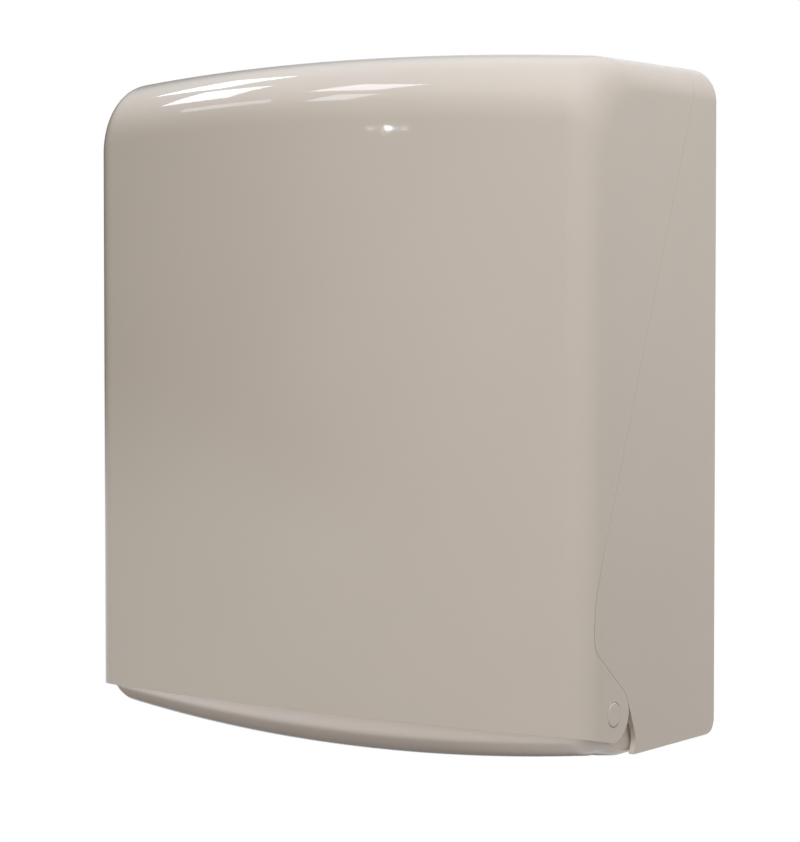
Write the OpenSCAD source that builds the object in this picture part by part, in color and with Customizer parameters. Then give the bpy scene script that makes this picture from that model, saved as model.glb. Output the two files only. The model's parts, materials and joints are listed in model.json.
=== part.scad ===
// Wall dispenser for folded paper hand towels.
// The front faces -Y, the wall is the plane y = 0 and the origin is the middle
// of the four wall screws. Heights in the modules are measured from the lower
// edge of the cover, and at_wall() brings them to the wall screws.

/* [Housing] */
// Overall width of the housing
body_w = 290; // [260:1:340]
// Depth from the wall to the middle of the bowed front
body_d = 120.5; // [112:0.5:140]
// Height of the cover from its lower edge to the middle of its top
cover_h = 303; // [270:1:350]
// How far the front bows out between its corners
front_bow = 10.5; // [6:0.5:16]
// How far the top rises between its sides
top_crown = 5.5; // [3:0.5:9]
// Radius of the upright front corners
corner_r = 15; // [12:0.5:18]
// Radius of the front edge of the top
top_front_r = 30; // [20:1:36]
// Radius of the side edges of the top
top_side_r = 16; // [12:1:22]
// Wall of the cover and the rear body
wall = 2.5; // [2:0.1:3]
// Thickness of the back plate
back_t = 2.6; // [2:0.1:4]
// How far the body reaches below the lower edge of the cover
floor_drop = 11.5; // [9:0.5:14]
// Length over which the lower rear corner of the body is eased
rear_ease = 8; // [3:0.5:12]
// Length over which the lower front corner of the tray is eased
foot_ease = 5; // [2:0.5:7]
// Height of the turned-in feet at the front of the body sides
foot_h = 6; // [4:0.5:9]
// Distance that these feet turn in
foot_in = 3.4; // [1:0.1:5]

/* [Parting line] */
// Gap between the cover and the rear body
part_gap = 0.6; // [0.4:0.1:1]
// Distance from the wall to the parting line at the top
part_rear = 14; // [11:0.5:24]
// Distance of the upright stretch of the parting line behind the front line
part_front = 6.5; // [5:0.5:9]
// Height at which the parting line turns upright
part_knee = 66; // [55:1:90]
// Length over which the knee is eased
knee_ease = 22; // [10:1:30]
// Length over which the corner above the hinge ear is eased
ear_ease = 6; // [3:0.5:9]

/* [Hinge] */
// Distance of the hinge axis behind the front line of the sides
pivot_back = 20.5; // [19:0.5:24]
// Height of the hinge axis above the lower edge of the cover
pivot_h = 8.5; // [8:0.1:11]
// Radius of the ears of the cover round the hinge axis
ear_r = 12.1; // [11:0.1:13]
// Angle at which the upper edge of the ear leaves its round
ear_top_angle = 50; // [42:1:58]
// Angle at which the body falls away behind the ear
facet_angle = 22; // [20:1:32]
// Opening angle at which the cover meets the tray shoulders
open_angle = 60; // [50:1:65]
// Play between the cover and the shoulder when it is fully open
stop_clear = 0.5; // [0.3:0.1:1]
// Diameter of the hinge pins
pin_d = 6; // [5:0.1:7]
// Diameter of the hinge pin heads
pin_head_d = 10.8; // [10:0.1:13]
// Thickness of the hinge pin heads
pin_head_t = 1.6; // [1.4:0.1:2.4]
// Bevel round the hinge pin heads
pin_bevel = 0.5; // [0.2:0.1:0.8]
// Depth of the head seat in the ear
head_sink = 1.2; // [0.8:0.1:1.3]
// Play round the head in its seat
head_clear = 0.2; // [0.1:0.05:0.4]
// Radial play of turning fits
run_clear = 0.06; // [0.02:0.01:0.1]
// Length of the pin bosses inside the tray
pin_boss_l = 8; // [6:0.5:12]
// Wall of the pin bosses
pin_boss_wall = 3; // [2:0.1:4]
// Thickness of the retaining clips
clip_t = 0.8; // [0.6:0.1:1.2]
// Ring width of the retaining clips
clip_ring = 2.6; // [2:0.1:3]
// Width of the open side of the retaining clips
clip_mouth = 4; // [3:0.1:4.4]
// Depth of the clip groove in the pin
groove_depth = 0.5; // [0.4:0.1:0.8]
// Length of the pin past its groove
pin_tail = 1.2; // [0.8:0.1:2]

/* [Tray] */
// Wall of the tray
tray_wall = 2.4; // [2:0.1:2.8]
// Room between the tray and the sides of the cover
side_clear = 1.2; // [0.8:0.1:1.6]
// Room between the rolled lip and the front of the cover
lip_clear = 0.4; // [0.4:0.1:0.8]
// Angle at which the rolled lip starts behind the cover
lip_start = 172; // [165:1:180]
// Height of the tray sides and rear flange above the lower edge of the cover
tray_rim = 24; // [20:1:30]
// Width of the dispensing slot
slot_w = 200; // [150:1:210]
// Depth of the dispensing slot
slot_d = 34; // [28:1:38]
// Distance from the wall to the rear edge of the slot
slot_back = 36; // [32:1:40]
// Radius of the corners of the slot
slot_r = 9; // [6:0.5:12]
// Width of the throat frame flange
throat_flange = 6; // [4:0.5:7]
// Thickness of the throat frame
throat_t = 2; // [1.6:0.1:2.4]
// Play of the throat frame in the slot
throat_clear = 0.3; // [0.2:0.05:0.5]
// How far the throat reaches below the tray
throat_drop = 2.5; // [1.5:0.5:3.5]

/* [Fixings] */
// Height of the middle of the wall screws above the lower edge of the cover
screw_mid_h = 150; // [140:1:160]
// Distance between the wall screws across the housing
wall_screw_w = 180; // [140:1:190]
// Distance between the wall screws up the housing
wall_screw_h = 190; // [140:1:200]
// Diameter of the wall screw holes
wall_screw_d = 5.2; // [4:0.1:6.5]
// Diameter of the raised pads round the wall screw holes
pad_d = 15; // [12:0.5:18]
// Height of the raised pads
pad_h = 2; // [1:0.5:3]
// Height of the screw bosses on the back plate
boss_h = 6; // [5.5:0.5:8]
// Diameter of the screw bosses
boss_d = 9; // [8:0.5:11]
// Diameter of the housing screws
screw_d = 3.5; // [3:0.1:4]
// Length of the housing screws in their bosses
screw_l = 5; // [4:0.5:5.5]
// Diameter of the housing screw heads
screw_head_d = 7; // [6:0.1:8]
// Height of the housing screw heads
screw_head_h = 2.4; // [2:0.1:3]
// Diameter of the flat on top of the housing screw heads
screw_top_d = 5; // [4:0.1:5.5]
// Radial play of the screws
screw_clear = 0.05; // [0.02:0.01:0.1]
// Distance between the outer tray screws
tray_screw_w = 220; // [200:1:230]
// Distance between the inner tray screws
tray_screw_in = 80; // [60:1:100]
// Distance between the towel rails on the back plate
rail_w = 120; // [100:1:140]
// Width of each towel rail
rail_t = 6; // [4:0.5:8]
// Gap from the towel rails to the tray below and the lock keeper above
rail_gap = 4; // [3:0.5:8]

/* [Towel guides] */
// Distance of the towel stack from the sides of the body
towel_in = 20; // [18.5:0.5:30]
// Depth of the guide plates
guide_d = 58; // [40:1:62]
// Height of the guide plates
guide_h = 170; // [120:1:190]
// Height of the lower end of the guides above the lower edge of the cover
guide_low = 38; // [34:1:50]
// Thickness of the guides
guide_t = 1.8; // [1.4:0.1:2.4]
// Width of the guide flanges
guide_flange = 13; // [12:0.5:14]
// Distance of the guide screws from the ends of the guides
guide_screw_in = 24; // [12:1:40]

/* [Lock] */
// Distance from the wall to the lock axis
lock_back = 45; // [42:1:52]
// Diameter of the lock barrel
barrel_d = 16; // [14:0.5:18]
// Width of the barrel across its flats
barrel_flats = 14; // [12:0.5:14]
// Length of the barrel below the top of the cover
barrel_l = 20; // [16:0.5:24]
// Diameter of the barrel flange
barrel_flange_d = 22; // [20:0.5:26]
// Thickness of the barrel flange
barrel_flange_t = 2; // [1.8:0.1:3]
// Diameter of the turning plug
plug_d = 9; // [8:0.5:10]
// Diameter of the plug head
plug_head_d = 12; // [11.5:0.1:13]
// Depth of the plug head seat
plug_sink = 1.4; // [1:0.1:1.6]
// Width of the key slot
key_w = 1.8; // [1.4:0.1:2.4]
// Length of the key slot
key_l = 7; // [5:0.5:8]
// Depth of the key slot
key_depth = 5; // [3:0.5:8]
// Side of the square tail that carries the cam
tail_w = 5.6; // [5:0.1:6]
// Thickness of the lock washer
washer_t = 1; // [0.8:0.1:1.6]
// Number of teeth round the lock washer
washer_teeth = 12; // [8:1:16]
// Diameter of the gaps between the washer teeth
washer_notch = 2; // [1.5:0.1:2.4]
// Thickness of the lock nut
nut_t = 4; // [3:0.5:5]
// Width of the lock nut over its corners
nut_d = 23; // [21.5:0.5:25]
// Width of the cam
cam_w = 12; // [10:0.5:14]
// Diameter of the cam round the lock axis
cam_hub_d = 14.4; // [13:0.1:15.5]
// Length of the cam from the lock axis
cam_l = 24; // [22:0.5:28]
// Thickness of the cam
cam_t = 2; // [1.5:0.1:3]
// Gap between the barrel and the cam
cam_gap = 0.3; // [0.2:0.05:0.5]
// Play between the locked cam and the keeper
keeper_play = 1; // [0.6:0.1:2]
// Thickness of the keeper
keeper_t = 1.5; // [1.2:0.1:2]
// Width of the keeper
keeper_w = 60; // [56:1:70]
// Play of the barrel in the keeper notch
notch_clear = 1.2; // [0.8:0.1:2]
// Gap between the cam screw and the keeper shelf
shelf_gap = 2; // [1:0.5:4]
// Overlap of the keeper over the height of the cam
keeper_lap = 2; // [1:0.5:3]
// Height of the keeper flange on the back plate
keeper_flange = 16; // [14:1:22]
// Distance between the keeper screws
keeper_screw_w = 36; // [30:1:44]

/* [Hidden] */
$fn = 64;
over = 5;
touch_gap = 0.1;
mid_steps = 10;
end_steps = 8;
arc_steps = 10;
ease_steps = 6;
knee_share = 0.6;
tip_share = 0.25;
housing_tone = [0.79, 0.76, 0.72];
tray_tone = [0.80, 0.77, 0.74];
steel_tone = [0.70, 0.71, 0.72];
zinc_tone = [0.78, 0.78, 0.76];

// Plan of the bowed front and outline of the crowned top, as arcs
half_w = body_w / 2;
front_line = front_bow - body_d;
bow_r = (half_w ^ 2 + front_bow ^ 2) / (2 * front_bow);
bow_y = bow_r - body_d;
corner_x = half_w - corner_r;
corner_y = bow_y - sqrt((bow_r - corner_r) ^ 2 - corner_x ^ 2);
crown_r = (half_w ^ 2 + top_crown ^ 2) / (2 * top_crown);
crown_z = cover_h - crown_r;
side_x = half_w - top_side_r;
side_z = crown_z + sqrt((crown_r - top_side_r) ^ 2 - side_x ^ 2);

// Hinge axis and parting line, as [y, z] seen from the side
pivot = [front_line + pivot_back, pivot_h];
part_y = front_line + part_front;
lean = atan2(-part_rear - part_y, cover_h - part_knee);
edge_from = 180 + atan2(pivot_h, pivot_back);
edge_angle = edge_from + acos(ear_r / norm([pivot_back, pivot_h]));
stop_angle = edge_angle + open_angle;

// Tray
tray_x = half_w - wall - side_clear;
lip_mid = pivot_back + front_bow - wall - lip_clear;
lip_sink = tray_wall / 8;
lip_foot = pivot_h + floor_drop - tray_wall + lip_sink;
lip_end = 360 - asin(min(1, lip_foot / (lip_mid - tray_wall)));
slot_y = -slot_back - slot_d / 2;
boss_face = -back_t - boss_h;
pin_seat = half_w - head_sink;
boss_end = tray_x - tray_wall - pin_boss_l;
boss_root = tray_x - tray_wall / 2;
hub_r = (pin_d + pin_boss_wall) / 2;
groove_d = pin_d - 2 * groove_depth;

// Towel stack between the guides
towel_w = body_w - 2 * towel_in;

// Lock, from the top of the cover down
top_inner = cover_h - wall;
washer_low = top_inner - touch_gap - washer_t;
barrel_low = cover_h - barrel_l;
cam_top = barrel_low - cam_gap;
cam_low = cam_top - cam_t;
shelf_top = cam_low - screw_head_h - shelf_gap;
keeper_face = -lock_back - cam_w / 2 - keeper_play;
notch_w = barrel_d + 2 * notch_clear;
keeper_screw_z = shelf_top - keeper_t - keeper_flange / 2;
rail_low = tray_rim + rail_gap;
rail_high = shelf_top - keeper_t - keeper_flange - rail_gap;

function front_at(x, inset) =
    abs(x) <= (bow_r - inset) * corner_x / (bow_r - corner_r)
    ? bow_y - sqrt((bow_r - inset) ^ 2 - x ^ 2)
    : corner_y - sqrt(max(0, (corner_r - inset) ^ 2 - (abs(x) - corner_x) ^ 2));

function top_at(x, inset) =
    abs(x) <= (crown_r - inset) * side_x / (crown_r - top_side_r)
    ? crown_z + sqrt((crown_r - inset) ^ 2 - x ^ 2)
    : side_z + sqrt(max(0, (top_side_r - inset) ^ 2 - (abs(x) - side_x) ^ 2));

// Stations across the width, closer together round the corners
function half_stations(end_x, end_r) = concat(
    [for (i = [1:mid_steps]) (end_x - end_r) * i / mid_steps],
    [for (k = [1:end_steps]) end_x - end_r + end_r * sin(90 * k / end_steps)]
);
function stations(end_x, end_r) =
    let (right = half_stations(end_x, end_r), n = len(right))
    concat([for (i = [1:n]) -right[n - i]], [0], right);

// Outline at one station: rear foot, front foot, front edge of the top, rear top
function station_ring(x, inset, rear, low) =
    let (y = front_at(x, inset), z = top_at(x, inset), r = top_front_r - inset)
    concat(
        [[x, rear, low], [x, y, low]],
        [for (k = [0:arc_steps])
            let (a = 180 - 90 * k / arc_steps)
            [x, y + r + r * cos(a), z - r + r * sin(a)]],
        [[x, rear, z]]
    );

module envelope(inset, rear, low) {
    xs = stations(half_w - inset, min(corner_r, top_side_r) - inset);
    n = arc_steps + 4;
    m = len(xs);
    points = [for (x = xs) each station_ring(x, inset, rear, low)];
    skin = [for (i = [0:m - 2]) for (j = [0:n - 1])
        let (a = i * n + j, b = i * n + (j + 1) % n)
        each [[a, b, b + n], [a, b + n, a + n]]];
    ends = [[for (j = [0:n - 1]) (m - 1) * n + j], [for (j = [0:n - 1]) n - 1 - j]];
    polyhedron(points, concat(skin, ends), convexity = 6);
}

// Side view geometry
function on_pivot(r, a) = pivot + r * [cos(a), sin(a)];
function tangent_y(a, r, z) = pivot[0] + (r - (z - pivot[1]) * sin(a)) / cos(a);
function tangent_z(a, r, y) = pivot[1] + (r - (y - pivot[0]) * cos(a)) / sin(a);
function toward(p, q, d) = p + (q - p) * d / norm(q - p);
function eased(p, q, s, d) =
    let (a = toward(q, p, d), b = toward(q, s, d))
    [for (k = [0:ease_steps])
        let (t = k / ease_steps)
        a * (1 - t) ^ 2 + q * 2 * t * (1 - t) + b * t ^ 2];

// Parting line from the top down to the round of the ear, set forward by a gap
function part_line(gap) =
    let (
        r = ear_r + part_gap - gap,
        y = part_y - gap,
        top_y = -part_rear - gap / cos(lean) + over * tan(lean),
        top = [top_y, cover_h + over],
        knee = [y, part_knee + (gap / cos(lean) - gap) / tan(lean)],
        low = [y, tangent_z(ear_top_angle, r, y)],
        ear = on_pivot(r, ear_top_angle)
    )
    concat(
        [top],
        eased(top, knee, low, knee_ease),
        eased(knee, low, ear, ear_ease),
        [ear]
    );

function round_arc(r, from, to) =
    [for (k = [0:arc_steps]) on_pivot(r, from + (to - from) * k / arc_steps)];

module across(width) rotate([90, 0, 90]) linear_extrude(height = width, center = true) children();

module at_wall() translate([0, 0, -screw_mid_h]) children();

module cover_side() polygon(concat(
    part_line(part_gap),
    round_arc(ear_r, ear_top_angle, edge_angle - 360),
    [[front_line, 0], [-body_d - over, 0], [-body_d - over, cover_h + over]]
));

module body_side() {
    facet_r = ear_r + part_gap;
    facet_head = on_pivot(facet_r, facet_angle);
    facet_knee = [tangent_y(facet_angle, facet_r, foot_h - floor_drop), foot_h - floor_drop];
    front_foot = [facet_knee[0] - foot_in, -floor_drop];
    foot_l = norm(front_foot - facet_knee);
    rear_foot = [0, -floor_drop];
    rear_head = [0, cover_h + over];
    polygon(concat(
        part_line(0),
        round_arc(facet_r, ear_top_angle, facet_angle),
        eased(facet_head, facet_knee, front_foot, foot_l * knee_share),
        eased(facet_knee, front_foot, rear_foot, foot_l * tip_share),
        eased(front_foot, rear_foot, rear_head, rear_ease),
        [rear_head]
    ));
}

module pin_axis() translate([0, pivot[0], pivot[1]]) rotate([0, 90, 0]) children();

module back_points(width, height) for (x = [-width / 2, width / 2]) translate([x, 0, height]) children();

module screw_bosses(width, height) back_points(width, height)
    rotate([90, 0, 0])
    translate([0, 0, back_t])
    difference() {
        cylinder(d = boss_d, h = boss_h);
        translate([0, 0, boss_h - screw_l - touch_gap])
            cylinder(d = screw_d + 2 * screw_clear, h = screw_l + over);
    }

module screw_holes(width, height) back_points(width, height)
    rotate([90, 0, 0])
    translate([0, 0, back_t])
    cylinder(d = screw_d + 2 * screw_clear, h = body_d);

module pan_screw(grip, length) {
    translate([0, 0, grip]) cylinder(d1 = screw_head_d, d2 = screw_top_d, h = screw_head_h);
    translate([0, 0, -length]) cylinder(d = screw_d, h = length + grip);
}

module back_screws(width, height, grip) back_points(width, height)
    rotate([90, 0, 0])
    translate([0, 0, back_t + boss_h])
    pan_screw(grip, screw_l);

module rounded_slot(w, d, r) union() {
    square([w - 2 * r, d], center = true);
    square([w, d - 2 * r], center = true);
    for (x = [-1, 1]) for (y = [-1, 1])
        translate([x * (w / 2 - r), y * (d / 2 - r)]) circle(r);
}

module rear_body() color(housing_tone) at_wall() difference() {
    union() {
        intersection() {
            difference() {
                envelope(0, 0, -floor_drop);
                envelope(wall, -back_t, -floor_drop - over);
            }
            across(body_w + over) body_side();
        }
        screw_bosses(tray_screw_w, tray_rim / 2);
        screw_bosses(tray_screw_in, tray_rim / 2);
        for (z = [guide_low + guide_screw_in, guide_low + guide_h - guide_screw_in])
            screw_bosses(towel_w + guide_flange, z);
        screw_bosses(keeper_screw_w, keeper_screw_z);
        for (x = [-1, 1]) translate([x * rail_w / 2 - rail_t / 2, boss_face, rail_low])
            cube([rail_t, boss_h, rail_high - rail_low]);
        for (z = [-1, 1]) back_points(wall_screw_w, screw_mid_h + z * wall_screw_h / 2)
            rotate([90, 0, 0]) translate([0, 0, back_t]) cylinder(d = pad_d, h = pad_h);
    }
    for (z = [-1, 1]) back_points(wall_screw_w, screw_mid_h + z * wall_screw_h / 2)
        rotate([90, 0, 0])
        translate([0, 0, -over])
        cylinder(d = wall_screw_d, h = back_t + pad_h + 2 * over);
}

// Section of the rolled lip, as [radius, x], swept round the hinge axis
function lip_at(x) = pivot[0] - front_at(x, wall) - lip_clear;

module lip_section() {
    xs = stations(tray_x, corner_r - wall - side_clear);
    polygon([for (x = xs) [lip_at(x), x], [hub_r, tray_x], [hub_r, -tray_x]]);
}

module lip_hollow() {
    xs = stations(tray_x - tray_wall, corner_r - wall - side_clear - tray_wall);
    polygon([for (x = xs) [lip_at(x) - tray_wall, x], [0, tray_x - tray_wall], [0, tray_wall - tray_x]]);
}

module around_pivot(from, to) translate([0, pivot[0], pivot[1]])
    rotate([90, 0, 90])
    rotate([0, 0, from])
    rotate_extrude(angle = to - from)
    children();

// Shoulder and floor of the tray seen from the side
stop_r = ear_r + stop_clear;
stop_head = on_pivot(stop_r, stop_angle);
stop_foot = [tangent_y(stop_angle, stop_r, -floor_drop), -floor_drop];
floor_rear = [-back_t - touch_gap, -floor_drop];
inner_r = stop_r + tray_wall;
inner_foot = [tangent_y(stop_angle, inner_r, tray_wall - floor_drop), tray_wall - floor_drop];

module tray_side() polygon(concat(
    eased(floor_rear, stop_foot, stop_head, foot_ease),
    [
        stop_head,
        pivot,
        [pivot[0], tray_rim],
        [boss_face, tray_rim],
        [boss_face, 0],
        [floor_rear[0], 0],
        floor_rear
    ]
));

module tray_floor() polygon(concat(
    eased(floor_rear, stop_foot, stop_head, foot_ease),
    [
        stop_head,
        on_pivot(inner_r, stop_angle),
        inner_foot,
        [floor_rear[0], tray_wall - floor_drop],
        floor_rear
    ]
));

// Space over the tray floor that the rolled lip stays out of
module tray_room() polygon([
    on_pivot(inner_r, stop_angle),
    inner_foot,
    [floor_rear[0], inner_foot[1]],
    [floor_rear[0], tray_rim],
    [on_pivot(inner_r, stop_angle)[0], tray_rim]
]);

module bottom_tray() color(tray_tone) at_wall() difference() {
    union() {
        difference() {
            around_pivot(lip_start, lip_end) difference() {
                lip_section();
                lip_hollow();
            }
            across(body_w) tray_room();
        }
        across(2 * tray_x) tray_floor();
        for (x = [-1, 1]) translate([x * (tray_x - tray_wall / 2), 0, 0])
            across(tray_wall) tray_side();
        translate([-tray_x, boss_face - tray_wall, -floor_drop])
            cube([2 * tray_x, tray_wall, floor_drop + tray_rim]);
        for (x = [-1, 1]) translate([x * (boss_end + boss_root) / 2, 0, 0]) pin_axis()
            cylinder(d = pin_d + 2 * pin_boss_wall, h = boss_root - boss_end, center = true);
    }
    translate([0, slot_y, -floor_drop - over]) linear_extrude(height = tray_wall + 2 * over)
        rounded_slot(slot_w, slot_d, slot_r);
    screw_holes(tray_screw_w, tray_rim / 2);
    screw_holes(tray_screw_in, tray_rim / 2);
    pin_axis() cylinder(d = pin_d + 2 * screw_clear, h = body_w, center = true);
}

module tray_screws() color(steel_tone) at_wall() {
    back_screws(tray_screw_w, tray_rim / 2, tray_wall);
    back_screws(tray_screw_in, tray_rim / 2, tray_wall);
}

module throat_frame() color(tray_tone) at_wall() translate([0, slot_y, tray_wall - floor_drop]) {
    w = slot_w - 2 * throat_clear;
    d = slot_d - 2 * throat_clear;
    r = slot_r - throat_clear;
    difference() {
        union() {
            linear_extrude(height = throat_t)
                rounded_slot(
                    slot_w + 2 * throat_flange,
                    slot_d + 2 * throat_flange,
                    slot_r + throat_flange
                );
            translate([0, 0, -tray_wall - throat_drop])
                linear_extrude(height = tray_wall + throat_drop + throat_t)
                rounded_slot(w, d, r);
        }
        translate([0, 0, -tray_wall - throat_drop - over])
            linear_extrude(height = tray_wall + throat_drop + throat_t + 2 * over)
            rounded_slot(w - 2 * throat_t, d - 2 * throat_t, r - throat_t);
    }
}

module barrel_shape(play, length) intersection() {
    cylinder(d = barrel_d + 2 * play, h = length);
    translate([0, 0, length / 2]) cube([barrel_flats + 2 * play, 2 * barrel_d, length], center = true);
}

module at_lock(z) translate([0, -lock_back, z]) children();

module front_cover() color(housing_tone) at_wall() difference() {
    intersection() {
        difference() {
            envelope(0, 0, -floor_drop);
            envelope(wall, over, -floor_drop - over);
        }
        across(body_w + over) cover_side();
    }
    at_lock(top_inner - over) barrel_shape(touch_gap, wall + 2 * over);
    for (x = [-1, 1]) translate([x * half_w, 0, 0]) pin_axis() {
        cylinder(d = pin_d + 2 * run_clear, h = 4 * wall, center = true);
        cylinder(d = pin_head_d + 2 * head_clear, h = 2 * head_sink, center = true);
    }
}

module facing(side) translate([0, pivot[0], pivot[1]]) rotate([0, side * 90, 0]) children();

module hinge_pin(side) color(housing_tone) at_wall() facing(side)
    rotate_extrude() polygon([
        [0, boss_end - clip_t - pin_tail],
        [pin_d / 2, boss_end - clip_t - pin_tail],
        [pin_d / 2, boss_end - clip_t - touch_gap / 2],
        [groove_d / 2, boss_end - clip_t - touch_gap / 2],
        [groove_d / 2, boss_end],
        [pin_d / 2, boss_end],
        [pin_d / 2, pin_seat],
        [pin_head_d / 2, pin_seat],
        [pin_head_d / 2, pin_seat + pin_head_t - pin_bevel],
        [pin_head_d / 2 - pin_bevel, pin_seat + pin_head_t],
        [0, pin_seat + pin_head_t]
    ]);

module hinge_clip(side) color(steel_tone) at_wall() facing(side)
    translate([0, 0, boss_end - clip_t]) difference() {
        cylinder(d = groove_d + 2 * screw_clear + 2 * clip_ring, h = clip_t);
        translate([0, 0, -over]) cylinder(d = groove_d + 2 * screw_clear, h = clip_t + 2 * over);
        translate([0, -clip_mouth / 2, -over]) cube([pin_d + 2 * clip_ring, clip_mouth, clip_t + 2 * over]);
    }

module hinge_pin_left() hinge_pin(-1);
module hinge_pin_right() hinge_pin(1);
module hinge_clip_left() hinge_clip(-1);
module hinge_clip_right() hinge_clip(1);

module towel_guide(side) color(tray_tone) at_wall() difference() {
    union() {
        translate([side * (towel_w + guide_t) / 2 - guide_t / 2, boss_face - guide_d, guide_low])
            cube([guide_t, guide_d, guide_h]);
        translate([side > 0 ? towel_w / 2 : -towel_w / 2 - guide_flange, boss_face - guide_t, guide_low])
            cube([guide_flange, guide_t, guide_h]);
    }
    for (z = [guide_low + guide_screw_in, guide_low + guide_h - guide_screw_in])
        screw_holes(towel_w + guide_flange, z);
}

module towel_guide_left() towel_guide(-1);
module towel_guide_right() towel_guide(1);

module guide_screws() color(steel_tone) at_wall()
    for (z = [guide_low + guide_screw_in, guide_low + guide_h - guide_screw_in])
        back_screws(towel_w + guide_flange, z, guide_t);

module lock_barrel() color(zinc_tone) at_wall() at_lock(0) difference() {
    union() {
        translate([0, 0, barrel_low]) barrel_shape(0, barrel_l + touch_gap);
        translate([0, 0, cover_h + touch_gap]) cylinder(d = barrel_flange_d, h = barrel_flange_t);
    }
    translate([0, 0, barrel_low - over])
        cylinder(d = plug_d + 2 * run_clear, h = barrel_l + barrel_flange_t + 2 * over);
    translate([0, 0, cover_h + touch_gap + barrel_flange_t - plug_sink])
        cylinder(d = plug_head_d + 2 * run_clear, h = plug_sink + over);
}

module lock_washer() color(steel_tone) at_wall() at_lock(washer_low) difference() {
    cylinder(d = nut_d, h = washer_t);
    translate([0, 0, -over]) cylinder(d = barrel_d + 2 * touch_gap, h = washer_t + 2 * over);
    for (i = [1:washer_teeth]) rotate([0, 0, 360 * i / washer_teeth])
        translate([nut_d / 2, 0, -over]) cylinder(d = washer_notch, h = washer_t + 2 * over);
}

module lock_nut() color(zinc_tone) at_wall() at_lock(washer_low - nut_t) difference() {
    cylinder(d = nut_d, h = nut_t, $fn = 6);
    translate([0, 0, -over]) cylinder(d = barrel_d + 2 * touch_gap, h = nut_t + 2 * over);
}

module lock_plug() color(steel_tone) at_wall() at_lock(0) difference() {
    head_low = cover_h + touch_gap + barrel_flange_t - plug_sink;
    union() {
        translate([0, 0, cam_top]) cylinder(d = plug_d, h = head_low - cam_top);
        translate([0, 0, head_low]) cylinder(d = plug_head_d, h = plug_sink);
        translate([-tail_w / 2, -tail_w / 2, cam_low]) cube([tail_w, tail_w, cam_t + touch_gap]);
    }
    translate([-key_w / 2, -key_l / 2, head_low + plug_sink - key_depth])
        cube([key_w, key_l, key_depth + over]);
    translate([0, 0, cam_low - over])
        cylinder(d = screw_d + 2 * screw_clear, h = screw_l + touch_gap + over);
}

module lock_cam() color(steel_tone) at_wall() at_lock(cam_low) difference() {
    linear_extrude(height = cam_t) difference() {
        union() {
            circle(d = cam_hub_d);
            translate([-cam_w / 2, 0]) square([cam_w, cam_l - cam_w / 2]);
            translate([0, cam_l - cam_w / 2]) circle(d = cam_w);
        }
        square(tail_w + 2 * screw_clear, center = true);
    }
}

module lock_cam_screw() color(steel_tone) at_wall() at_lock(cam_low)
    rotate([180, 0, 0]) pan_screw(0, screw_l);

module lock_keeper() color(steel_tone) at_wall() difference() {
    union() {
        translate([-keeper_w / 2, keeper_face - keeper_t, shelf_top - keeper_t])
            cube([keeper_w, boss_face - keeper_face + keeper_t, keeper_t]);
        translate([-keeper_w / 2, keeper_face - keeper_t, shelf_top - keeper_t])
            cube([keeper_w, keeper_t, cam_top + keeper_lap - shelf_top + keeper_t]);
        translate([-keeper_w / 2, boss_face - keeper_t, shelf_top - keeper_t - keeper_flange])
            cube([keeper_w, keeper_t, keeper_flange + keeper_t]);
    }
    translate([-notch_w / 2, keeper_face - keeper_t - over, shelf_top])
        cube([notch_w, keeper_t + 2 * over, cover_h]);
    screw_holes(keeper_screw_w, keeper_screw_z);
}

module keeper_screws() color(steel_tone) at_wall() back_screws(keeper_screw_w, keeper_screw_z, keeper_t);

rear_body();
bottom_tray();
tray_screws();
throat_frame();
front_cover();
hinge_pin_left();
hinge_pin_right();
hinge_clip_left();
hinge_clip_right();
towel_guide_left();
towel_guide_right();
guide_screws();
lock_barrel();
lock_washer();
lock_nut();
lock_plug();
lock_cam();
lock_cam_screw();
lock_keeper();
keeper_screws();
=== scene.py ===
import json
import math
import bpy
import bmesh
from mathutils import Matrix, Vector


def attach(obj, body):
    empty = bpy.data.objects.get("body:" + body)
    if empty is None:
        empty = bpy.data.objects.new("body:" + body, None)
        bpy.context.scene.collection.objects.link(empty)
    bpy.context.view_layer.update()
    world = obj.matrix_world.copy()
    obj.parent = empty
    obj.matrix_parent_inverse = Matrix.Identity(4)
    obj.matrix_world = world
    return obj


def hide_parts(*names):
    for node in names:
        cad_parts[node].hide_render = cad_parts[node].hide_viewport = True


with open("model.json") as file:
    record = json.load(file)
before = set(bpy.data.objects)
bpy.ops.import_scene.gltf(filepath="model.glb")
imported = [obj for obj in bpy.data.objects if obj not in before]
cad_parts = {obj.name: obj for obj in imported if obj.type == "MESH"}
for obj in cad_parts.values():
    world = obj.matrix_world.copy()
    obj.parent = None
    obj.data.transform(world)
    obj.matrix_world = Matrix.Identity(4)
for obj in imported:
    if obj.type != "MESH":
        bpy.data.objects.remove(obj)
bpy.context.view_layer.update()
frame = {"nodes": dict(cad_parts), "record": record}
print("frame loaded:", len(frame["nodes"]), "nodes")

mm = 0.001

# Outer form of the housing in millimetres, heights from the lower edge of the cover
housing = {
    "width": 290.0,
    "depth": 120.5,            # wall to the middle of the bowed front
    "coverHeight": 303.0,
    "bow": 10.5,
    "crown": 5.5,
    "cornerRadius": 15.0,
    "topFrontRadius": 30.0,
    "topSideRadius": 16.0,
    "wall": 2.5,
    "floorDrop": 11.5,         # underside of the tray below the cover
    "screwMid": 150.0,         # lower edge of the cover to the middle of the wall screws
}

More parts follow.
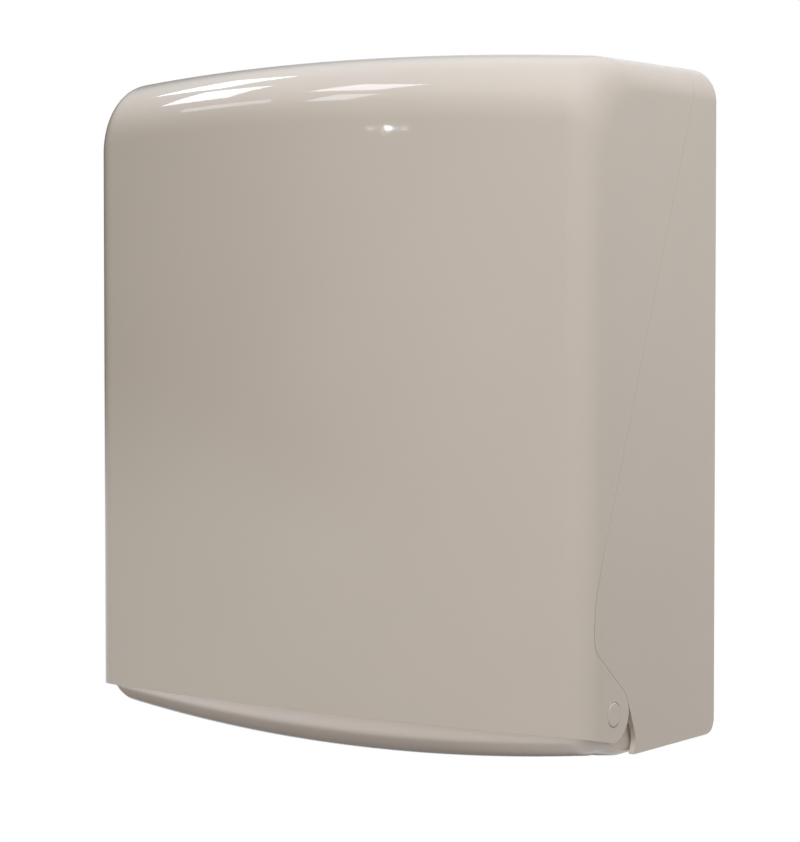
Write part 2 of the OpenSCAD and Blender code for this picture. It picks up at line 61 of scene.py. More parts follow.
# Parting line and hinge ears seen from the side
parting = {
    "gap": 0.6,
    "seam": 0.12,               # width that shows between the rounded edges
    "rear": 14.0,
    "front": 6.5,
    "knee": 66.0,
    "kneeEase": 22.0,
    "earEase": 6.0,
    "earRadius": 12.1,
    "earTopAngle": 50.0,
    "facetAngle": 22.0,
    "footHeight": 6.0,
    "footIn": 3.4,
    "rearEase": 8.0,
    "pivotBack": 20.5,
    "pivotHeight": 8.5,
    "over": 5.0,                # the line runs on this far past the top
    "topSkip": 0.5,
    "cornerSkip": 0.05,
}

halfWidth = housing["width"] / 2
frontLine = housing["bow"] - housing["depth"]
bowRadius = (halfWidth ** 2 + housing["bow"] ** 2) / (2 * housing["bow"])
bowY = bowRadius - housing["depth"]
cornerX = halfWidth - housing["cornerRadius"]
cornerY = bowY - math.sqrt((bowRadius - housing["cornerRadius"]) ** 2 - cornerX ** 2)
crownRadius = (halfWidth ** 2 + housing["crown"] ** 2) / (2 * housing["crown"])
crownZ = housing["coverHeight"] - crownRadius
sideX = halfWidth - housing["topSideRadius"]
sideZ = crownZ + math.sqrt((crownRadius - housing["topSideRadius"]) ** 2 - sideX ** 2)
pivotY = frontLine + parting["pivotBack"]
pivotZ = parting["pivotHeight"]
partY = frontLine + parting["front"]
lean = math.atan2(-parting["rear"] - partY, housing["coverHeight"] - parting["knee"])
earReach = math.hypot(parting["pivotBack"], pivotZ)
edgeAngle = 180 + math.degrees(math.atan2(pivotZ, parting["pivotBack"])
                               + math.acos(parting["earRadius"] / earReach))


def spot(x, y, z):
    return Vector((x, y, z - housing["screwMid"])) * mm


def frontAt(x, inset=0.0):
    x = abs(x)
    if x <= (bowRadius - inset) * cornerX / (bowRadius - housing["cornerRadius"]):
        return bowY - math.sqrt((bowRadius - inset) ** 2 - x * x)
    return cornerY - math.sqrt(max(0.0, (housing["cornerRadius"] - inset) ** 2 - (x - cornerX) ** 2))


def topAt(x, inset=0.0):
    x = abs(x)
    if x <= (crownRadius - inset) * sideX / (crownRadius - housing["topSideRadius"]):
        return crownZ + math.sqrt((crownRadius - inset) ** 2 - x * x)
    return sideZ + math.sqrt(max(0.0, (housing["topSideRadius"] - inset) ** 2 - (x - sideX) ** 2))


def onPivot(radius, angle):
    return Vector((pivotY + radius * math.cos(math.radians(angle)),
                   pivotZ + radius * math.sin(math.radians(angle))))


def tangentY(angle, radius, z):
    a = math.radians(angle)
    return pivotY + (radius - (z - pivotZ) * math.sin(a)) / math.cos(a)


def tangentZ(angle, radius, y):
    a = math.radians(angle)
    return pivotZ + (radius - (y - pivotY) * math.cos(a)) / math.sin(a)


def eased(before, corner, after, reach, steps=20):
    a = corner + (before - corner).normalized() * reach
    b = corner + (after - corner).normalized() * reach
    return [a * (1 - t) ** 2 + corner * 2 * t * (1 - t) + b * t * t
            for t in (k / steps for k in range(steps + 1))]


def partingCurve(gap):
    # top end, knee, low corner and tangent point on the ear, as (y, z)
    radius = parting["earRadius"] + parting["gap"] - gap
    y = partY - gap
    over = parting["over"]
    top = Vector((-parting["rear"] - gap / math.cos(lean) - over * -math.tan(lean),
                  housing["coverHeight"] + over))
    knee = Vector((y, parting["knee"] + (gap / math.cos(lean) - gap) / math.tan(lean)))
    low = Vector((y, tangentZ(parting["earTopAngle"], radius, y)))
    ear = onPivot(radius, parting["earTopAngle"])
    upper = [top] + eased(top, knee, low, parting["kneeEase"])
    lower = eased(knee, low, ear, parting["earEase"]) + [ear]
    return upper, lower


def heightOn(points, y):
    run = sorted(points, key=lambda p: p[0])
    for p, q in zip(run, run[1:]):
        if p[0] <= y <= q[0] and q[0] - p[0] > 1e-9:
            return p[1] + (q[1] - p[1]) * (y - p[0]) / (q[0] - p[0])
    return run[0][1] if y < run[0][0] else run[-1][1]


def rearOn(upper, z):
    # y of the straight run of the parting line at a height
    a, b = upper[0], upper[1]
    return a[0] + (b[0] - a[0]) * (z - a[1]) / (b[1] - a[1])


def onSide(points):
    # the points on the flat side, clear of the rounds
    return [p for p in points if p[1] < sideZ - parting["topSkip"] and p[0] > cornerY + parting["cornerSkip"]]


def shellColumns(notchY, bowSteps=72, cornerSteps=12, notchSteps=12):
    # stations over the width, with one exactly where the parting line begins on the corner
    bowEnd = math.asin(cornerX / (bowRadius - housing["cornerRadius"]))
    notch = math.acos((cornerY - notchY) / housing["cornerRadius"])
    turns = [bowEnd + (notch - bowEnd) * k / cornerSteps for k in range(1, cornerSteps + 1)]
    turns += [notch + (math.pi / 2 - notch) * k / notchSteps for k in range(1, notchSteps + 1)]
    bowX = cornerX + housing["cornerRadius"] * math.sin(bowEnd)
    half = [bowX * i / bowSteps for i in range(1, bowSteps + 1)]
    half += [cornerX + housing["cornerRadius"] * math.sin(t) for t in turns]
    half[-1] = halfWidth
    return [-x for x in reversed(half)] + [0.0] + half, notchSteps


def meshObject(name, bm):
    mesh = bpy.data.meshes.new(name)
    bm.to_mesh(mesh)
    bm.free()
    obj = bpy.data.objects.new(name, mesh)
    bpy.context.scene.collection.objects.link(obj)
    return obj


def settle(obj):
    # keeps the result of the modifiers as the mesh
    deps = bpy.context.evaluated_depsgraph_get()
    deps.update()
    made = bpy.data.meshes.new_from_object(obj.evaluated_get(deps), preserve_all_data_layers=True,
                                           depsgraph=deps)
    old = obj.data
    obj.modifiers.clear()
    obj.data = made
    made.name = obj.name
    bpy.data.meshes.remove(old)


def thicken(obj, wall):
    mod = obj.modifiers.new("wall", "SOLIDIFY")
    mod.thickness = wall * mm
    mod.offset = -1.0
    mod.use_even_offset = True
    mod.use_quality_normals = True
    settle(obj)


def cutWith(obj, cutter, crossing=False):
    mod = obj.modifiers.new("cut", "BOOLEAN")
    mod.operation = "DIFFERENCE"
    mod.solver = "EXACT"
    mod.use_self = crossing
    mod.object = cutter
    settle(obj)
    bpy.data.objects.remove(cutter)


def softenEdges(obj, width, angle=35.0, segments=3):
    mod = obj.modifiers.new("edges", "BEVEL")
    mod.width = width * mm
    mod.segments = segments
    mod.limit_method = "ANGLE"
    mod.angle_limit = math.radians(angle)
    mod.use_clamp_overlap = True
    settle(obj)
    finishShading(obj)


def finishShading(obj, angle=38.0):
    obj.data.shade_smooth()
    obj.data.set_sharp_from_angle(angle=math.radians(angle))
    mod = obj.modifiers.new("normals", "WEIGHTED_NORMAL")
    mod.mode = "FACE_AREA"
    mod.weight = 50
    mod.keep_sharp = True
    settle(obj)


def lathe(bm, profile, frameOf, steps=48):
    # turned solid from (radius, height) points, both ends on the axis
    rings = []
    turns = [2 * math.pi * k / steps for k in range(steps)]
    for radius, height in profile:
        if radius < 1e-6:
            rings.append([bm.verts.new(frameOf @ Vector((0, 0, height)))])
        else:
            rings.append([bm.verts.new(frameOf @ Vector((radius * math.cos(a), radius * math.sin(a), height)))
                          for a in turns])
    for a, b in zip(rings, rings[1:]):
        for k in range(steps):
            n = (k + 1) % steps
            loop = [a[k % len(a)], a[n % len(a)], b[n % len(b)], b[k % len(b)]]
            loop = [v for i, v in enumerate(loop) if v not in loop[:i]]
            if len(loop) > 2:
                bm.faces.new(loop)


def prism(bm, outline, x0, x1):
    # outline in (y, z), carried across the width
    left = [bm.verts.new(spot(x0, p[0], p[1])) for p in outline]
    right = [bm.verts.new(spot(x1, p[0], p[1])) for p in outline]
    n = len(outline)
    bm.faces.new(left)
    bm.faces.new(list(reversed(right)))
    for k in range(n):
        bm.faces.new([left[k], right[k], right[(k + 1) % n], left[(k + 1) % n]])


def closedObject(name, bm):
    bmesh.ops.recalc_face_normals(bm, faces=bm.faces)
    return meshObject(name, bm)


def faceOutward(bm, middle):
    # one sheet, turned so that most of it looks away from the middle point
    bmesh.ops.recalc_face_normals(bm, faces=bm.faces)
    away = sum(f.calc_area() * (f.calc_center_median() - middle).dot(f.normal) for f in bm.faces)
    if away < 0:
        bmesh.ops.reverse_faces(bm, faces=bm.faces)


alongFront = Matrix.Rotation(math.radians(90), 4, "X")


def towardsSide(way):
    return Matrix.Rotation(math.radians(90 * way), 4, "Y")


def axisAt(x, y, z, turn):
    return Matrix.Translation(spot(x, y, z)) @ turn @ Matrix.Scale(mm, 4)


coverPiece = {
    "lowRows": 8,
    "frontRows": 16,
    "roundRows": 22,
    "topRows": 12,
    "earSteps": 40,
    "edge": 0.3,
    "pinBore": 3.06,
    "pinReach": (9.0, 4.0),     # bore inside and outside of the head's seat
    "headSeat": 5.6,
    "headSink": 1.2,
    "lockHole": 8.1,
    "lockReach": 12.0,
    "lockBack": 45.0,
}


def makeCover():
    gap = parting["seam"]
    earRadius = parting["earRadius"] + parting["gap"] - gap
    upper, lower = partingCurve(gap)
    xs, notchSteps = shellColumns(partY - gap)
    edge = onPivot(earRadius, edgeAngle)
    slope = edge[1] / (edge[0] - frontLine)
    r = housing["topFrontRadius"]
    lowRows, frontRows = coverPiece["lowRows"], coverPiece["frontRows"]
    roundRows, topRows = coverPiece["roundRows"], coverPiece["topRows"]
    bm = bmesh.new()
    grid = []
    for x in xs:
        y, z = frontAt(x), topAt(x)
        foot = max(0.0, y - frontLine) * slope
        low, high = heightOn(lower, max(y, partY - gap)), heightOn(upper, max(y, partY - gap))
        rows = [(y, foot + (low - foot) * k / lowRows) for k in range(lowRows + 1)]
        rows += [(y, high + (z - r - high) * k / frontRows) for k in range(frontRows + 1)]
        for k in range(1, roundRows + 1):
            a = math.pi - math.pi / 2 * k / roundRows
            rows.append((y + r + r * math.cos(a), z - r + r * math.sin(a)))
        rear = rearOn(upper, z)
        rows += [(y + r + (rear - y - r) * k / topRows, z) for k in range(1, topRows + 1)]
        grid.append([bm.verts.new(spot(x, p, q)) for p, q in rows])
    last = len(xs) - 1
    for i in range(last):
        atNotch = i < notchSteps or i >= last - notchSteps
        for k in range(len(grid[0]) - 1):
            if not (atNotch and k == lowRows):
                bm.faces.new([grid[i][k], grid[i + 1][k], grid[i + 1][k + 1], grid[i][k + 1]])
    start, steps = parting["earTopAngle"], coverPiece["earSteps"]
    sweep = [onPivot(earRadius, start + (edgeAngle - 360 - start) * k / steps) for k in range(1, steps + 1)]
    for col in (0, last):
        x = xs[col]
        side = [bm.verts.new(spot(x, y, z)) for y, z in onSide(upper)]
        bm.faces.new(grid[col][lowRows + 1:] + side)
        ear = [bm.verts.new(spot(x, y, z)) for y, z in onSide(lower) + sweep]
        bm.faces.new(grid[col][:lowRows + 1] + ear)
    faceOutward(bm, spot(0, -30, 120))
    obj = meshObject("coverShell", bm)
    thicken(obj, housing["wall"])
    cutter = bmesh.new()
    sink = halfWidth - coverPiece["headSink"]
    bore, seat = coverPiece["pinBore"], coverPiece["headSeat"]
    inner, outer = sink - coverPiece["pinReach"][0], sink + coverPiece["pinReach"][1]
    for way in (-1, 1):
        lathe(cutter, [(0, inner), (bore, inner), (bore, sink), (seat, sink), (seat, outer), (0, outer)],
              axisAt(0, pivotY, pivotZ, towardsSide(way)), 64)
    hole, reach = coverPiece["lockHole"], coverPiece["lockReach"]
    lathe(cutter, [(0, -reach), (hole, -reach), (hole, reach), (0, reach)],
          axisAt(0, -coverPiece["lockBack"], housing["coverHeight"], Matrix.Identity(4)), 48)
    cutWith(obj, closedObject("coverHoles", cutter))
    softenEdges(obj, coverPiece["edge"])
    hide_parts("front_cover")
    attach(obj, "cover")
    return obj


coverShell = makeCover()
print("cover shell made:", len(coverShell.data.polygons), "faces")


bodyPiece = {
    "columns": (48, 10, 12),    # over the bow, the corner and the notch
    "topRows": 8,
    "cornerRows": 14,
    "earSteps": 12,
    "kneeBend": 0.6,            # share of the foot's length taken up by its bends
    "toeBend": 0.25,
    "edge": 0.25,
    "backThickness": 2.6,
    "sunk": 0.3,                # how far posts and rails stand in the back plate
    "wallScrews": (180.0, 190.0, 2.6),      # width, height, hole radius
    "holeReach": (-4.0, 12.0),
    "padRadius": 7.5,
    "padHeight": 2.0,
    "padEdge": 0.5,
    "postRadius": 4.5,
    "postHeight": 6.0,
    "postHole": 1.8,
    "postDeep": 5.0,
    "postEdge": 0.4,
    "postFoot": 0.8,
    "posts": [(110.0, 12.0), (40.0, 12.0), (131.5, 62.0), (131.5, 184.0), (18.0, 266.8)],
    "rails": (60.0, 6.0, 28.0, 254.8),      # offset, width, low end, high end
    "railEdge": 1.0,
    "insideEdge": 0.3,
}


def makeBody():
    upper, lower = partingCurve(0.0)
    xs, notchSteps = shellColumns(partY, *bodyPiece["columns"])
    radius = parting["earRadius"] + parting["gap"]
    facetHead = onPivot(radius, parting["facetAngle"])
    drop = -housing["floorDrop"]
    kneeZ = drop + parting["footHeight"]
    facetKnee = Vector((tangentY(parting["facetAngle"], radius, kneeZ), kneeZ))
    frontFoot = Vector((facetKnee[0] - parting["footIn"], drop))
    footLength = (frontFoot - facetKnee).length
    rearFoot = Vector((0.0, drop))
    rearHead = Vector((0.0, housing["coverHeight"]))
    rearCurve = eased(frontFoot, rearFoot, rearHead, parting["rearEase"])
    start, steps = parting["earTopAngle"], bodyPiece["earSteps"]
    behindEar = [onPivot(radius, start + (parting["facetAngle"] - start) * k / steps)
                 for k in range(1, steps + 1)]
    underside = (behindEar + eased(facetHead, facetKnee, frontFoot, footLength * bodyPiece["kneeBend"])
                 + eased(facetKnee, frontFoot, rearFoot, footLength * bodyPiece["toeBend"], 8) + rearCurve)
    topRows, cornerRows = bodyPiece["topRows"], bodyPiece["cornerRows"]
    bm = bmesh.new()
    last = len(xs) - 1
    topGrid = []
    for x in xs:
        z = topAt(x)
        front = rearOn(upper, z)
        topGrid.append([bm.verts.new(spot(x, front * (1 - k / topRows), z)) for k in range(topRows + 1)])
    for i in range(last):
        for k in range(topRows):
            bm.faces.new([topGrid[i][k], topGrid[i + 1][k], topGrid[i + 1][k + 1], topGrid[i][k + 1]])
    rearLow = {}
    for col, way in ((0, 1), (last, -1)):
        corner = []
        for step in range(notchSteps + 1):
            x = xs[col + way * (notchSteps - step)]
            y = max(frontAt(x), partY)
            low, high = heightOn(lower, y), heightOn(upper, y)
            corner.append([bm.verts.new(spot(x, y, low + (high - low) * k / cornerRows))
                           for k in range(cornerRows + 1)])
        for a, b in zip(corner, corner[1:]):
            for k in range(cornerRows):
                bm.faces.new([a[k], b[k], b[k + 1], a[k + 1]])
        x = xs[col]
        low = [bm.verts.new(spot(x, y, z)) for y, z in reversed(underside)]
        rise = [bm.verts.new(spot(x, y, z)) for y, z in onSide(reversed(upper))]
        down = [bm.verts.new(spot(x, y, z)) for y, z in onSide(reversed(lower))]
        bm.faces.new(corner[-1] + rise + topGrid[col] + low + down)
        rearLow[col] = low
    # back plate, with the round of its lower edge
    keep = sum(1 for p in rearCurve if p[0] > -bodyPiece["backThickness"])
    left, right = rearLow[0][:keep], rearLow[last][:keep]
    bm.faces.new([topGrid[i][-1] for i in range(last + 1)] + [right[0], left[0]])
    for k in range(keep - 1):
        bm.faces.new([left[k], right[k], right[k + 1], left[k + 1]])
    faceOutward(bm, spot(0, -50, 150))
    obj = meshObject("bodyShell", bm)
    thicken(obj, housing["wall"])
    cutter = bmesh.new()
    wide, tall, hole = bodyPiece["wallScrews"]
    rear, front = bodyPiece["holeReach"]
    places = [(sx * wide / 2, housing["screwMid"] + sz * tall / 2) for sx in (-1, 1) for sz in (-1, 1)]
    for x, z in places:
        lathe(cutter, [(0, rear), (hole, rear), (hole, front), (0, front)], axisAt(x, 0, z, alongFront), 40)
    cutWith(obj, closedObject("wallHoles", cutter))
    softenEdges(obj, bodyPiece["edge"])
    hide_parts("rear_body")
    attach(obj, "base")

    # posts, pads and rails moulded on the inside of the back plate
    bm = bmesh.new()
    seat = bodyPiece["backThickness"] - bodyPiece["sunk"]
    tip = bodyPiece["backThickness"] + bodyPiece["postHeight"]
    r, h, end = bodyPiece["postRadius"], bodyPiece["postHole"], tip - bodyPiece["postDeep"]
    edge, foot = bodyPiece["postEdge"], bodyPiece["postFoot"]
    for x, z in [(s * px, pz) for px, pz in bodyPiece["posts"] for s in (-1, 1)]:
        lathe(bm, [(0, end), (h, end), (h, tip), (r - edge, tip), (r, tip - edge), (r, seat + foot),
                   (r + foot, seat), (0, seat)], axisAt(x, 0, z, alongFront), 40)
    top = bodyPiece["backThickness"] + bodyPiece["padHeight"]
    r, edge = bodyPiece["padRadius"], bodyPiece["padEdge"]
    for x, z in places:
        lathe(bm, [(hole, seat), (hole, top), (r - edge, top), (r, top - edge), (r, seat)],
              axisAt(x, 0, z, alongFront), 48)
    offset, wide, low, high = bodyPiece["rails"]
    edge = bodyPiece["railEdge"]
    outline = [(-seat, low), (edge - tip, low), (-tip, low + edge), (-tip, high - edge), (edge - tip, high),
               (-seat, high)]
    for s in (-1, 1):
        prism(bm, outline, s * offset - wide / 2, s * offset + wide / 2)
    posts = closedObject("bodyPosts", bm)
    softenEdges(posts, bodyPiece["insideEdge"], 50, 2)
    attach(posts, "base")
    return obj, posts


bodyShell, bodyPosts = makeBody()
print("rear body made:", len(bodyShell.data.polygons), "faces")


trayPiece = {
    "wall": 2.4,
    "sideClear": 0.9,
    "lipClear": 0.4,
    "lipStart": 172.0,
    "lipRows": 44,
    "bowColumns": 84,
    "endColumns": 20,
    "bendRows": 12,
    "floorRows": 10,
    "bendEnd": 5.5,            # where the lip has run out into the floor
    "bendReach": 0.38,
    "rim": 24.0,
    "shoulder": (6.5, 9.5),    # front end of the rim, before and above the hinge axis
    "rearEdge": -2.65,
    "flangeFace": -8.6,
    "flangeGap": (0.4, 0.6),   # over the floor and at the sides
    "endTurn": 38.0,           # how early the lip leaves its roll at the ends
    "endRound": 14.0,          # how far the ends round back
    "endEdge": 2.8,            # round between the floor and the sides
    "slot": (200.0, 34.0, 9.0, -53.0),      # width, depth, corner radius, middle
    "slotReach": (9.0, 6.0),   # cut below the floor and above it
    "bossRadius": 6.0,
    "bossBore": 3.1,
    "bossEdge": 0.4,
    "bossEnds": (130.9, 140.1),
    "edge": 0.35,
}


def lipRadius(x):
    return pivotY - frontAt(x, housing["wall"]) - trayPiece["lipClear"]


def roundedSlot(bm, wide, deep, radius, y, z0, z1, steps=12):
    ring = []
    for sx, sy, start in ((1, 1, 0), (-1, 1, 90), (-1, -1, 180), (1, -1, 270)):
        for k in range(steps + 1):
            a = math.radians(start + 90 * k / steps)
            ring.append((sx * (wide / 2 - radius) + radius * math.cos(a),
                         y + sy * (deep / 2 - radius) + radius * math.sin(a)))
    low = [bm.verts.new(spot(p, q, z0)) for p, q in ring]
    high = [bm.verts.new(spot(p, q, z1)) for p, q in ring]
    bm.faces.new(list(reversed(low)))
    bm.faces.new(high)
    for k in range(len(ring)):
        n = (k + 1) % len(ring)
        bm.faces.new([low[k], low[n], high[n], high[k]])


def makeTray():
    wall = trayPiece["wall"]
    trayX = halfWidth - housing["wall"] - trayPiece["sideClear"]
    drop = -housing["floorDrop"]
    fall = pivotZ - drop
    rear = trayPiece["rearEdge"]

    # rolled lip round the hinge axis, running into the floor and rounding up to the sides
    bowX = (bowRadius - housing["wall"]) * cornerX / (bowRadius - housing["cornerRadius"])
    start = next(x for x in (bowX * i / 400 for i in range(400)) if lipRadius(x) < fall)
    steps, turns = trayPiece["bowColumns"], trayPiece["endColumns"]
    half = [start * i / steps for i in range(1, steps + 1)]
    half += [start + (trayX - start) * math.sin(math.pi / 2 * k / turns) for k in range(1, turns + 1)]
    xs = [-x for x in reversed(half)] + [0.0] + half
    rows, bendRows, floorRows = trayPiece["lipRows"], trayPiece["bendRows"], trayPiece["floorRows"]
    bendEnd, lipStart = trayPiece["bendEnd"], trayPiece["lipStart"]
    bm = bmesh.new()
    grid = []
    for x in xs:
        radius = lipRadius(x)
        t = 1 - math.sqrt(1 - min(1.0, max(0.0, (abs(x) - start) / (trayX - start))) ** 2)
        over = min(1.0, max(0.0, 1 - (trayX - abs(x)) / trayPiece["endEdge"]))
        base = drop + trayPiece["endEdge"] * (1 - math.sqrt(1 - over * over))
        if radius > fall:
            turn = 360 - math.degrees(math.asin(fall / radius))
            a = onPivot(radius, turn)
            b, way = Vector((a[0] + bendEnd, base)), Vector((1, 0))
        else:
            turn = 270 - trayPiece["endTurn"] * t
            a = onPivot(radius, turn)
            b = Vector((pivotY + bendEnd + trayPiece["endRound"] * t, base))
            way = Vector((-math.sin(math.radians(turn)), math.cos(math.radians(turn))))
        reach = (b - a).length * trayPiece["bendReach"]
        c, d = a + way * reach, b - Vector((reach, 0))
        points = [onPivot(radius, lipStart + (turn - lipStart) * k / rows) for k in range(rows + 1)]
        points += [a * (1 - u) ** 3 + c * 3 * u * (1 - u) ** 2 + d * 3 * u * u * (1 - u) + b * u ** 3
                   for u in (k / bendRows for k in range(1, bendRows + 1))]
        points += [Vector((b[0] + (rear - b[0]) * k / floorRows, base)) for k in range(1, floorRows + 1)]
        grid.append([bm.verts.new(spot(x, p[0], p[1])) for p in points])
    for i in range(len(xs) - 1):
        for k in range(len(grid[0]) - 1):
            bm.faces.new([grid[i][k], grid[i + 1][k], grid[i + 1][k + 1], grid[i][k + 1]])
    rim, face = trayPiece["rim"], trayPiece["flangeFace"]
    before, above = trayPiece["shoulder"]
    for col in (0, len(xs) - 1):
        edge = [(rear, 0.0), (face, 0.0), (face, rim), (pivotY, rim), (pivotY - before, pivotZ + above)]
        bm.faces.new(grid[col] + [bm.verts.new(spot(xs[col], y, z)) for y, z in edge])
    faceOutward(bm, spot(0, -60, 12))
    shell = meshObject("trayShell", bm)
    thicken(shell, wall)
    cutter = bmesh.new()
    wide, deep, radius, y = trayPiece["slot"]
    below, over = trayPiece["slotReach"]
    roundedSlot(cutter, wide, deep, radius, y, drop - below, drop + wall + over)
    cutWith(shell, closedObject("slotCut", cutter), True)
    softenEdges(shell, trayPiece["edge"], 40, 2)

    # rear flange and hinge bosses
    bm = bmesh.new()
    foot, flangeX = drop + trayPiece["flangeGap"][0], trayX - trayPiece["flangeGap"][1]
    prism(bm, [(face - wall, foot), (face, foot), (face, rim), (face - wall, rim)], -flangeX, flangeX)
    low, high = trayPiece["bossEnds"]
    size, bore, edge = trayPiece["bossRadius"], trayPiece["bossBore"], trayPiece["bossEdge"]
    for way in (-1, 1):
        lathe(bm, [(bore, high), (bore, low), (size - edge, low), (size, low + edge), (size, high)],
              axisAt(0, pivotY, pivotZ, towardsSide(way)), 48)
    flange = closedObject("trayFlange", bm)
    softenEdges(flange, trayPiece["edge"], 40, 2)
    for piece in (shell, flange):
        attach(piece, "base")
    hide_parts("bottom_tray")
    return shell, flange


trayShell, trayFlange = makeTray()
print("tray made")


def newGroup(name, inputs, outputs):
    group = bpy.data.node_groups.new(name, "ShaderNodeTree")
    for label, kind, value in inputs:
        socket = group.interface.new_socket(label, in_out="INPUT", socket_type=kind)
        socket.default_value = value
    for label, kind in outputs:
        group.interface.new_socket(label, in_out="OUTPUT", socket_type=kind)
    return group, group.nodes.new("NodeGroupInput"), group.nodes.new("NodeGroupOutput")


def noiseOf(tree, vector, scale, detail):
    node = tree.nodes.new("ShaderNodeTexNoise")
    node.inputs["Detail"].default_value = detail
    tree.links.new(vector, node.inputs["Vector"])
    tree.links.new(scale, node.inputs["Scale"])
    return node.outputs["Fac"]


def mixOf(tree, factor, first, second):
    node = tree.nodes.new("ShaderNodeMix")
    node.data_type = "RGBA"
    tree.links.new(factor, node.inputs["Factor"])
    tree.links.new(first, node.inputs[6])
    tree.links.new(second, node.inputs[7])
    return node.outputs[2]


def between(tree, value, low, high):
    node = tree.nodes.new("ShaderNodeMapRange")
    tree.links.new(value, node.inputs["Value"])
    tree.links.new(low, node.inputs["To Min"])
    tree.links.new(high, node.inputs["To Max"])
    return node.outputs["Result"]


def smoothSpan(tree, value, ends):
    node = tree.nodes.new("ShaderNodeMapRange")
    node.interpolation_type = "SMOOTHSTEP"
    for label, end in zip(("From Min", "From Max", "To Min", "To Max"), ends):
        node.inputs[label].default_value = end
    tree.links.new(value, node.inputs["Value"])
    return node.outputs["Result"]


def mathOf(tree, operation, first, second):
    node = tree.nodes.new("ShaderNodeMath")
    node.operation = operation
    tree.links.new(first, node.inputs[0])
    tree.links.new(second, node.inputs[1])
    return node.outputs["Value"]


skinOutputs = [("Color", "NodeSocketColor"), ("Roughness", "NodeSocketFloat"), ("Height", "NodeSocketFloat")]


def mouldedSkin():
    # slow drift of tone and gloss, and the fine waviness of a moulded face
    group, entry, leave = newGroup(
        "mouldedSkin",
        [("Tone", "NodeSocketColor", (0.5, 0.5, 0.5, 1)), ("Shade", "NodeSocketColor", (0.4, 0.4, 0.4, 1)),
         ("Drift Scale", "NodeSocketFloat", 14.0), ("Wave Scale", "NodeSocketFloat", 420.0),
         ("Gloss Low", "NodeSocketFloat", 0.2), ("Gloss High", "NodeSocketFloat", 0.3)], skinOutputs)
    links, given = group.links, entry.outputs
    place = group.nodes.new("ShaderNodeTexCoord").outputs["Object"]
    spread = group.nodes.new("ShaderNodeMapRange")
    spread.inputs["From Min"].default_value = 0.3
    spread.inputs["From Max"].default_value = 0.7
    links.new(noiseOf(group, place, given["Drift Scale"], 3.0), spread.inputs["Value"])
    links.new(mixOf(group, spread.outputs["Result"], given["Shade"], given["Tone"]), leave.inputs["Color"])
    fine = noiseOf(group, place, given["Wave Scale"], 2.0)
    links.new(between(group, fine, given["Gloss Low"], given["Gloss High"]), leave.inputs["Roughness"])
    links.new(fine, leave.inputs["Height"])
    return group


def brushedGrain():
    # fine lines along the width
    group, entry, leave = newGroup(
        "brushedGrain",
        [("Light", "NodeSocketColor", (0.6, 0.6, 0.6, 1)), ("Dark", "NodeSocketColor", (0.5, 0.5, 0.5, 1)),
         ("Scale", "NodeSocketFloat", 900.0), ("Gloss Low", "NodeSocketFloat", 0.25),
         ("Gloss High", "NodeSocketFloat", 0.45)], skinOutputs)
    links, given = group.links, entry.outputs
    place = group.nodes.new("ShaderNodeTexCoord").outputs["Object"]
    stretch = group.nodes.new("ShaderNodeMapping")
    stretch.inputs["Scale"].default_value = (0.06, 1.0, 1.0)
    links.new(place, stretch.inputs["Vector"])
    grain = noiseOf(group, stretch.outputs["Vector"], given["Scale"], 4.0)
    links.new(mixOf(group, grain, given["Dark"], given["Light"]), leave.inputs["Color"])
    links.new(between(group, grain, given["Gloss Low"], given["Gloss High"]), leave.inputs["Roughness"])
    links.new(grain, leave.inputs["Height"])
    return group


skinGroup = mouldedSkin()
grainGroup = brushedGrain()


def linear(red, green, blue):
    def one(v):
        v /= 255
        return v / 12.92 if v <= 0.04045 else ((v + 0.055) / 1.055) ** 2.4
    return (one(red), one(green), one(blue), 1.0)


def finish(name, group, values, metallic, bump):
    material = bpy.data.materials.new(name)
    material.use_nodes = True
    nodes, links = material.node_tree.nodes, material.node_tree.links
    shader = nodes["Principled BSDF"]
    shader.inputs["Metallic"].default_value = metallic
    shader.inputs["IOR"].default_value = 1.5
    place = nodes.new("ShaderNodeGroup")
    place.node_tree = group
    for label, value in values.items():
        place.inputs[label].default_value = value
    links.new(place.outputs["Color"], shader.inputs["Base Color"])
    links.new(place.outputs["Roughness"], shader.inputs["Roughness"])
    relief = nodes.new("ShaderNodeBump")
    relief.inputs["Strength"].default_value = bump
    relief.inputs["Distance"].default_value = 0.0004
    links.new(place.outputs["Height"], relief.inputs["Height"])
    links.new(relief.outputs["Normal"], shader.inputs["Normal"])
    return material


finishes = {
    "housing": finish("glossyCase", skinGroup,
                      {"Tone": linear(196, 186, 173), "Shade": linear(194, 184, 171), "Gloss Low": 0.02,
                       "Gloss High": 0.045}, 0.0, 0.006),
    "tray": finish("glossyTray", skinGroup,
                   {"Tone": linear(209, 196, 185), "Shade": linear(207, 194, 183), "Gloss Low": 0.08,
                    "Gloss High": 0.13}, 0.0, 0.008),
    "guide": finish("mattGuide", skinGroup,
                    {"Tone": linear(196, 192, 186), "Shade": linear(188, 184, 178), "Wave Scale": 900.0,
                     "Gloss Low": 0.45, "Gloss High": 0.6}, 0.0, 0.08),
    "steel": finish("brushedSteel", grainGroup,
                    {"Light": linear(202, 203, 205), "Dark": linear(176, 177, 180)}, 1.0, 0.05),
    "zinc": finish("platedLock", grainGroup,
                   {"Light": linear(214, 214, 216), "Dark": linear(200, 200, 203), "Scale": 300.0,
                    "Gloss Low": 0.1, "Gloss High": 0.2}, 1.0, 0.01),
}


def dress(obj, key):
    obj.data.materials.clear()
    obj.data.materials.append(finishes[key])


